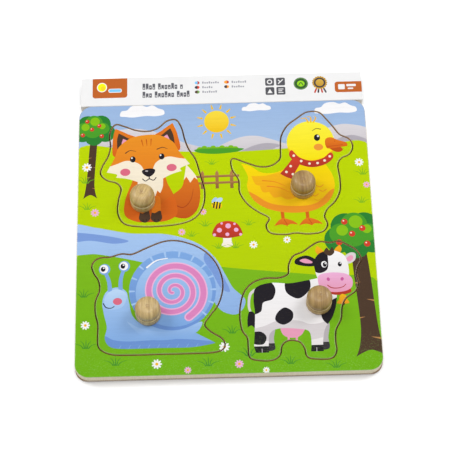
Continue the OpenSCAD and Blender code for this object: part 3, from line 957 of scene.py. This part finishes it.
def beech(name, seed, pale, warm, deep):
    """Turned pale wood: uneven year rings on edge, short dark flecks, a thin clear coat."""
    n = Nodes(name)
    place = n.place()
    wander = n.noise((170, 9, 9), 2, 0.5, (seed, 0, 0))
    lean = n.noise((30, 34, 34), 2, 0.5, (0, seed, 0))
    bow = n.maths("MULTIPLY", n.maths("POWER", n.maths("ABSOLUTE", place["Y"]), 2), 6)
    across = n.maths("ADD", n.maths("ADD", place["X"], bow),
        n.ranged(wander, 0, 1, -0.005, 0.005))
    across = n.maths("ADD", across, n.ranged(lean, 0, 1, -0.002, 0.002))
    rings = n.maths("FRACT", n.maths("MULTIPLY", across, 330))
    ring = n.ranged(rings, 0.2, 1, 0, 1)
    broad = n.noise((300, 12, 12), 2, 0.5, (2 * seed, 0, 0))
    fibre = n.noise((1700, 90, 90), 4, 0.65, (seed, seed, 0))
    fleck = n.noise((2600, 260, 260), 2, 0.5, (seed, 0, seed))
    patch = n.noise((70, 26, 26), 2, 0.5, (0, seed, seed))
    tone = n.mixed(n.ranged(patch, 0.35, 0.65, 0, 1), warm, pale)
    tone = n.mixed(n.ranged(broad, 0.44, 0.62, 0, 0.5), tone, deep)
    tone = n.mixed(n.maths("MULTIPLY", ring, 0.26), tone, deep)
    tone = n.mixed(n.ranged(fibre, 0.46, 0.66, 0, 0.6), tone, deep)
    tone = n.mixed(n.ranged(fleck, 0.62, 0.72, 0, 0.6), tone, "#7c5a33")
    flat = n.new("ShaderNodeCombineXYZ")
    n.link(place["X"], flat.inputs[0])
    n.link(place["Y"], flat.inputs[1])
    centre_mark = n.ranged(n.length(flat.outputs[0]), 0.0018, 0.0024, 0.3, 0)
    tone = n.mixed(centre_mark, tone, "#7c5a33")
    # Painted light and shade in bands round the turned side: a painted highlight on the bead,
    # painted shade in the groove and under the cap, and painted light on the foot.
    # Each band has its height, reach, strength and shade
    for height, reach, share, shade in ((8.8, 0.55, 0.5, "#f0e2b4"), (7.5, 0.5, 0.6, "#5c4320"),
            (11.4, 2.2, 0.42, "#6f5226"), (3.4, 3.6, 0.3, "#e6c888")):
        off = n.maths("ABSOLUTE", n.maths("SUBTRACT", place["Z"], height * MM))
        tone = n.mixed(n.ranged(off, 0, reach * MM, share, 0), tone, shade)
    n.feed("Base Color", tone)
    n.feed("Roughness", n.ranged(fibre, 0.3, 0.7, 0.42, 0.56))
    n.set(Coat_Weight=0.2, Coat_Roughness=0.22)
    n.bump(fibre, 0.25, 0.00005)
    return n.material


def zinc_steel():
    """Zinc plated screw steel, faintly mottled."""
    n = Nodes("zinc_steel")
    mottle = n.noise((1200, 1200, 1200), 3, 0.6)
    n.feed("Base Color", n.mixed(n.ranged(mottle, 0.3, 0.7, 0, 1), "#b9bcc0", "#dcdde0"))
    n.feed("Roughness", n.ranged(mottle, 0.3, 0.7, 0.26, 0.42))
    n.set(Metallic=1)
    n.bump(mottle, 0.15, 0.00003)
    return n.material


PRINT = printed_wood()
PALE_EDGE = cut_wood("pale_edge", "#d6ccb4", "#b3a686", 0.35)
BURNT_EDGE = cut_wood("burnt_edge", "#dcb98a", "#9a7148", 0.4)
BACKING_EDGE = cut_wood("backing_edge", "#aa9a86", "#75624e", 0.1)
UNDERSIDE = bare_wood()
HARDBOARD = hardboard()
CARD = card_stock()
STEEL = zinc_steel()


# Board and pieces

def dress_board():
    """Cuts one picture into the board and its four pieces, as the real sheet is sawn."""
    board_low, board_high = (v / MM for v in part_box("frame_board"))
    sheet = Sheet()
    unit = (board_high.x - board_low.x) / DRAWN_SIDE
    sheet.place((board_low.x + board_high.x) / 2, (board_low.y + board_high.y) / 2, unit)
    landscape(sheet)
    for name in ANIMALS:
        low, high = (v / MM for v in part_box(name + "_piece"))
        draw, scale, lift = DRAWN[name]
        sheet.place((low.x + high.x) / 2, (low.y + high.y) / 2 + lift * unit, scale * unit)
        draw(sheet)
    # How far each kind of edge is rounded, in mm
    board_eases = dict(outer=0.7, cutout=0.5)
    piece_eases = dict(outer=1, hole=0)
    regions = {}
    for node in ["frame_board"] + [name + "_piece" for name in ANIMALS]:
        eases = board_eases if node == "frame_board" else piece_eases
        loops = rims(node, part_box(node)[1].z)
        regions[node] = [moved_out(loop, -eases[kind_of(loop)]) for loop in loops]
    loops = [row[0] for row in sheet.rows] + [loop for some in regions.values() for loop in some]
    points, faces = triangles(loops)
    centres = points[faces].mean(axis=1)
    for node, edges in regions.items():
        own = faces[within_odd(centres, edges)]
        colours = painted(sheet, points, own)
        if node == "frame_board":
            rims_as = dict(outer=1, cutout=2, under=3, wear_and_sheen=dict(outer=1, cutout=-1))
            skin = plate(node, board_eases, points, own, colours, rims_as)
            skin.made("board_plate", [PRINT, PALE_EDGE, BURNT_EDGE, UNDERSIDE], "board", node,
                "printed_ply")
        else:
            name = node[:-len("_piece")]
            # The pale rim round each piece is partly bare wood and partly a painted highlight on
            # its rounded edge
            rims_as = dict(outer=1, hole=2, under=2, wear_and_sheen=dict(outer=0.45))
            skin = plate(node, piece_eases, points, own, colours, rims_as)
            skin.made(name + "_plate", [PRINT, BURNT_EDGE, UNDERSIDE], name, node, "printed_ply")


def dress_backing():
    ease = 0.25
    loops = [moved_out(loop, -ease) for loop in rims("backboard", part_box("backboard")[1].z)]
    points, faces = triangles(loops)
    own = faces[within(points[faces].mean(axis=1), loops[0])]
    skin = plate("backboard", dict(outer=ease), points, own, np.ones((len(own), 3, 3)),
        dict(outer=1, under=0, wear_and_sheen={}))
    skin.made("backing", [HARDBOARD, BACKING_EDGE], "board", "backboard", "hardboard")


# Header card

def blocks(s, x, y, heights, width, step, paint):
    """A row of small upright blocks where the card has a word. The wide ones have hollows."""
    for k, tall in enumerate(heights):
        s.add(rounded(x, y, x + width, y + tall, 0.4), paint)
        if width > 2:
            foot, top = ((0.9, 2.7), (-0.1, 1.2), (2.2, 3.4))[k % 3]
            s.add(rounded(x + 0.9, y + foot, x + width - 0.9, y + top, 0.2), "card")
        x += step
    return x


def card_picture(s, right, far):
    """Plain shapes like the card's printing, from its near edge up to the fold at far."""
    s.add(rounded(-136.3, 159.6, -99.6, far, 3, (1, 1, 0, 0)), "panel")
    s.dot(-126.4, 172.6, 5.4, "card", ry=5.8)
    s.dot(-126.4, 172.6, 4.5, "yellow", ry=4.9)
    s.dot(-125.4, 171.4, 2.4, "sun", ry=2.8)
    s.add(rounded(-119.6, 166, -105.4, 170.8, 2), "card")
    s.add(rounded(-118.8, 166.8, -106.2, 170, 1.4), "bar_blue")
    for y, words in (
            (168.6, ((7.4, 7.4, 5.3, 7), (7.4, 5.3, 5.3, 5.3, 7.4, 5.3), (5.3,))),
            (158.8, ((7.4, 5.3, 5.3), (7.4, 5.3, 5.3, 7.4, 5.3, 5.3), (7.4, 5.3, 5.3, 7.4)))):
        x = -83.4
        for heights in words:
            x = blocks(s, x, y, heights, 2.8, 3.5, "word") + 2.4
    for x, rows in (
            (-25.6, (("bar_blue", "brick", 8), ("ink_soft", "poppy", 5), ("bark", "seal", 7))),
            (5.6, (("gold_deep", "brick", 7), ("ink_soft", "gold_deep", 6)))):
        for k, (one, other, count) in enumerate(rows):
            y = 175.4 - 5.6 * k
            s.dot(x, y, 2.6, one, ry=1.9)
            s.add(smooth([(x, y + 1.9), (x + 1.8, y + 1.4), (x + 2.6, y), (x + 1.8, y - 1.4),
                (x, y - 1.9), (x + 0.7, y)], 4), other)
            blocks(s, x + 5.4, y - 1.2, [1.8 + 0.8 * (j % 3 == 0) for j in range(count)], 1.6, 2.3,
                "bar")
    for x, y, mark in ((46.6, 169.6, 0), (58.2, 169.6, 1), (46.6, 158.4, 2), (58.2, 158.4, 3)):
        s.add(rounded(x, y, x + 9.4, y + 9.4, 1.4), "square")
        if mark == 0:
            s.dot(x + 4.7, y + 4.7, 2.9, "card")
            s.dot(x + 4.7, y + 4.7, 1.7, "square")
        elif mark == 1:
            for a, b in (((2.4, 2.4), (7, 7)), ((2.4, 6.6), (4, 5))):
                s.stroke([(x + a[0], y + a[1]), (x + b[0], y + b[1])], 1.1, "card")
        elif mark == 2:
            s.add([(x + 2, y + 2.2), (x + 7.4, y + 2.2), (x + 4.7, y + 7.2)], "card")
        else:
            for end, up in ((7, 2.6), (5.8, 4.7), (7, 6.8)):
                s.stroke([(x + 2.4, y + up), (x + end, y + up)], 1, "card")
    for rx, ry, paint in ((7.6, 7.4, "seal_deep"), (7, 6.8, "seal"), (6.5, 6.3, "seal_deep"),
            (4, 3.6, "lime")):
        s.dot(84.3, 171.2, rx, paint, ry=ry)
    s.stroke([(82, 169.4), (84.3, 172.6), (86.6, 169.4)], 0.9, "seal_deep")
    for lean, paint in ((-5.6, "brick"), (-2, "ink_soft"), (2.2, "brick"), (6, "ink_soft")):
        s.stroke([(104.3 + 0.5 * lean, 167), (104.3 + lean, 160.2)], 1.8, paint, steps=2)
    for turn in range(0, 360, 20):
        a = radians(turn)
        s.dot(104.3 + 6.9 * cos(a), 171.8 + 6.9 * sin(a), 1.2, "medal")
    s.dot(104.3, 171.8, 7.1, "medal")
    s.dot(104.3, 171.8, 6.1, "ink_soft")
    s.dot(104.3, 171.8, 4.3, "medal", top="medal_pale")
    s.add(rounded(120, 159.5, right, 172.4, 3, (1, 0, 0, 1)), "panel")
    s.add(rounded(123.6, 163, 130.6, 169.2, 1), "card")
    s.add(rounded(132.4, 166.4, 142.4, 169.2, 0.8), "card")
    s.add(rounded(133.6, 163, 139.4, 164.8, 0.6), "card")


def sleeve_section(low, high, inset, r):
    """Points round the sleeve's section: over the top, down the back and underneath."""
    y0, y1, z0, z1 = low.y + inset, high.y - inset, low.z + inset, high.z - inset
    out = []
    for cy, cz, start in ((y1 - r, z1 - r, 90), (y1 - r, z0 + r, 0), (y0 + r, z0 + r, -90),
            (y0 + r, z1 - r, -180)):
        for k in range(6):
            a = radians(start - 18 * k)
            out.append((cy + r * cos(a), cz + r * sin(a)))
    return out[-1:] + out


def dress_card():
    """A folded sleeve, its picture side drawn flat and then bent round the folds."""
    low, high = (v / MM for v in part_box("header_card"))
    fold, thick = 0.8, 0.6
    left, right = low.x, high.x
    outer = sleeve_section(low, high, 0, fold)
    inner = sleeve_section(low, high, thick, fold - thick)
    # The distance round the section at each of its points
    run = [0]
    for a, b in zip(outer, outer[1:]):
        run.append(run[-1] + hypot(b[0] - a[0], b[1] - a[1]))
    sheet = Sheet()
    sheet.add([(left, -1), (right, -1), (right, run[-1] + 1), (left, run[-1] + 1)], "card")
    sheet.place(0, -outer[0][0])
    card_picture(sheet, right, outer[1][0])
    edge = np.array([(left, run[0]), (right, run[0]), (right, run[-1]), (left, run[-1])])
    folds = [((left, s), (right, s)) for s in run[1:-1]]
    points, faces = triangles([row[0] for row in sheet.rows] + [edge], folds)
    own = faces[within(points[faces].mean(axis=1), edge)]

    def bent(x, s):
        """The place on the folded sleeve of a point of the flat card."""
        k = min(max(int(np.searchsorted(run, s + 1e-6)) - 1, 0), len(run) - 2)
        share = (s - run[k]) / (run[k + 1] - run[k])
        (ya, za), (yb, zb) = outer[k], outer[k + 1]
        return x, ya + share * (yb - ya), za + share * (zb - za)

    skin = Skin()
    for face, colour in zip(own, painted(sheet, points, own)):
        skin.face([bent(*points[k]) for k in face], 0, colour)
    white = linear(PAINT["card"])
    for (ya, za), (yb, zb) in zip(inner, inner[1:]):
        skin.face([(left, yb, zb), (right, yb, zb), (right, ya, za), (left, ya, za)], 0,
            [white] * 4, [0.7] * 4)
    # The cut ends take every point that the picture's triangles have there
    near = 1e-4
    for x in (left, right):
        cuts = sorted({float(s) for u, s in points
            if abs(u - x) < near and run[0] - near <= s <= run[-1] + near})
        for k, (start, stop) in enumerate(zip(run, run[1:])):
            corners = [bent(x, s) for s in cuts if start - near <= s <= stop + near]
            corners += [(x, *inner[k + 1]), (x, *inner[k])]
            if x == right:
                corners = corners[::-1]
            skin.face(corners, 0, [white] * len(corners), [1] * len(corners), flat=True)
    skin.made("card_sleeve", [CARD], "header", "header_card", "card")


# Knobs and screws

def knob_profile(foot, tall):
    """Radius and height, in mm, along a turned knob's side, from its bore to its centre mark."""
    waist, cap, dome = foot - 0.5, foot - 0.2, 7.4
    bore, depth = 1.3, 13.5
    return [(0, depth), (bore, depth), (bore, 0), (foot - 0.35, 0), (foot - 0.1, 0.1),
        (foot, 0.4), (foot - 0.03, 2), (foot - 0.16, 5), (waist + 0.14, 6.1),
        (waist - 0.15, 6.75), (waist - 0.7, 7.15), (waist - 1.05, 7.4), (waist - 1.05, 7.65),
        (waist - 0.6, 7.85), (waist, 8.05), (waist + 0.35, 8.3), (waist + 0.42, 8.6),
        (waist + 0.25, 8.95), (waist - 0.15, 9.25), (waist - 0.4, 9.5), (waist - 0.44, 9.9),
        (waist - 0.36, 10.6), (waist - 0.1, 11.8), (cap - 0.1, 12.9)] + [
        (cap - dome + dome * cos(radians(a)), tall - dome + dome * sin(radians(a)))
        for a in range(0, 91, 9)] + [
        (3.4, tall), (2.2, tall), (1.85, tall - 0.12), (1.5, tall - 0.36), (1.1, tall - 0.36),
        (0.75, tall - 0.14), (0.4, tall - 0.1), (0, tall - 0.1)]


def lathed(name, profile, steps=96):
    """A mesh of a profile in mm, turned about Z."""
    circle = [(cos(2 * pi * k / steps), sin(2 * pi * k / steps)) for k in range(steps)]
    points, rings = [], []
    for radius, z in profile:
        if radius == 0:
            rings.append([len(points)] * steps)
            points.append((0, 0, z * MM))
        else:
            rings.append(range(len(points), len(points) + steps))
            points += [(radius * MM * u, radius * MM * v, z * MM) for u, v in circle]
    faces = []
    for a, b in zip(rings, rings[1:]):
        for k in range(steps):
            j = (k + 1) % steps
            face = [a[k], a[j], b[j], b[k]]
            faces.append([v for i, v in enumerate(face) if v != face[i - 1]])
    mesh = bpy.data.meshes.new(name)
    mesh.from_pydata(points, [], faces)
    mesh.polygons.foreach_set("use_smooth", [True] * len(faces))
    mesh.set_sharp_from_angle(angle=radians(42))
    return mesh


def dress_knobs():
    """Knobs turned on a lathe, each with its own turn, grain and shades of wood."""
    woods = dict(fox=(-25, 3.1, "#c8ad73", "#b59a60", "#886831"),
        duck=(6, 11.7, "#ac8e55", "#9c7c46", "#745226"),
        snail=(0, 23.4, "#c6ae7a", "#b79a62", "#846632"),
        cow=(0, 37.2, "#b0925d", "#a3834b", "#76572a"))
    for name in ANIMALS:
        low, high = (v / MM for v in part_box(name + "_knob"))
        turn, *wood = woods[name]
        mesh = lathed(name + "_peg", knob_profile((high.x - low.x) / 2, high.z - low.z))
        mesh.materials.append(beech(name + "_beech", *wood))
        knob = placed(name + "_peg", mesh)
        knob.location = Vector(((low.x + high.x) / 2, (low.y + high.y) / 2, low.z)) * MM
        knob.rotation_euler = (0, 0, radians(turn))
        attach(knob, name)
        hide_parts(name + "_knob")
        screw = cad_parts[name + "_screw"]
        screw.data.materials.clear()
        screw.data.materials.append(STEEL)


# Stage, light and camera

def stage():
    """A white floor that glows further out, a white world and five soft lamps."""
    n = Nodes("floor_white")
    n.set(Base_Color=(0.97, 0.97, 0.97, 1), Roughness=0.9, Specular_IOR_Level=0.1,
        Emission_Color=(1, 1, 1, 1))
    n.feed("Emission Strength", n.ranged(n.length(n.coordinates()), 0.4, 1.5, 0, 0.65))
    mesh = bpy.data.meshes.new("floor")
    half = 6
    mesh.from_pydata([(-half, -half, 0), (half, -half, 0), (half, half, 0), (-half, half, 0)],
        [], [(0, 1, 2, 3)])
    mesh.materials.append(n.material)
    floor = placed("floor", mesh)
    floor.location = (0, 0, -0.0003)

    world = bpy.data.worlds.new("studio")
    bpy.context.scene.world = world
    world.use_nodes = True
    tree = world.node_tree
    seen, glow = tree.nodes["Background"], tree.nodes.new("ShaderNodeBackground")
    for node, colour, strength in ((seen, (1, 1, 1, 1), 1), (glow, (0.95, 0.97, 1, 1), 0.45)):
        node.inputs["Color"].default_value = colour
        node.inputs["Strength"].default_value = strength
    path = tree.nodes.new("ShaderNodeLightPath")
    mix = tree.nodes.new("ShaderNodeMixShader")
    for source, target in ((path.outputs["Is Camera Ray"], mix.inputs["Fac"]),
            (glow.outputs[0], mix.inputs[1]), (seen.outputs[0], mix.inputs[2]),
            (mix.outputs[0], tree.nodes["World Output"].inputs["Surface"])):
        tree.links.new(source, target)

    for name, place, width, depth, power in (
            ("left_box", (-1, 0.5, 1.1), 0.6, 0.6, 10.3),
            ("right_box", (1, 0.5, 1.1), 0.6, 0.6, 10.3),
            ("top_box", (0, 0, 1.5), 0.5, 0.7, 6.7),
            ("left_front_box", (-0.9, -1.3, 1.1), 0.5, 0.5, 2.6),
            ("right_front_box", (0.9, -1.3, 1.1), 0.5, 0.5, 2.6)):
        light = bpy.data.lights.new(name, "AREA")
        light.shape = "RECTANGLE"
        light.size, light.size_y = width, depth
        light.energy = power
        lamp = placed(name, light)
        lamp.location = place
        lamp.rotation_euler = Vector(place).to_track_quat("Z", "Y").to_euler()


def camera():
    """The camera that took the photo, as its picture of the board's corners gives it."""
    right = Vector((0.99965, -0.02518, -0.00822)).normalized()
    back = Vector((-0.00306, -0.41811, 0.90839))
    back = (back - right * back.dot(right)).normalized()
    up = back.cross(right)
    view = Matrix((right, up, back)).transposed().to_4x4()
    view.translation = Vector((-0.0046, -0.6006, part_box("frame_board")[1].z + 1.3235))
    lens = bpy.data.cameras.new("camera")
    lens.sensor_fit = "HORIZONTAL"
    lens.sensor_width = 36
    lens.lens = PHOTO_FOCAL / PHOTO_SIDE * lens.sensor_width
    lens.clip_start, lens.clip_end = 0.05, 30
    eye = placed("camera", lens)
    eye.matrix_world = view
    bpy.context.scene.camera = eye
    bpy.context.scene.view_settings.view_transform = "Standard"


dress_board()
dress_backing()
dress_card()
dress_knobs()
stage()
camera()
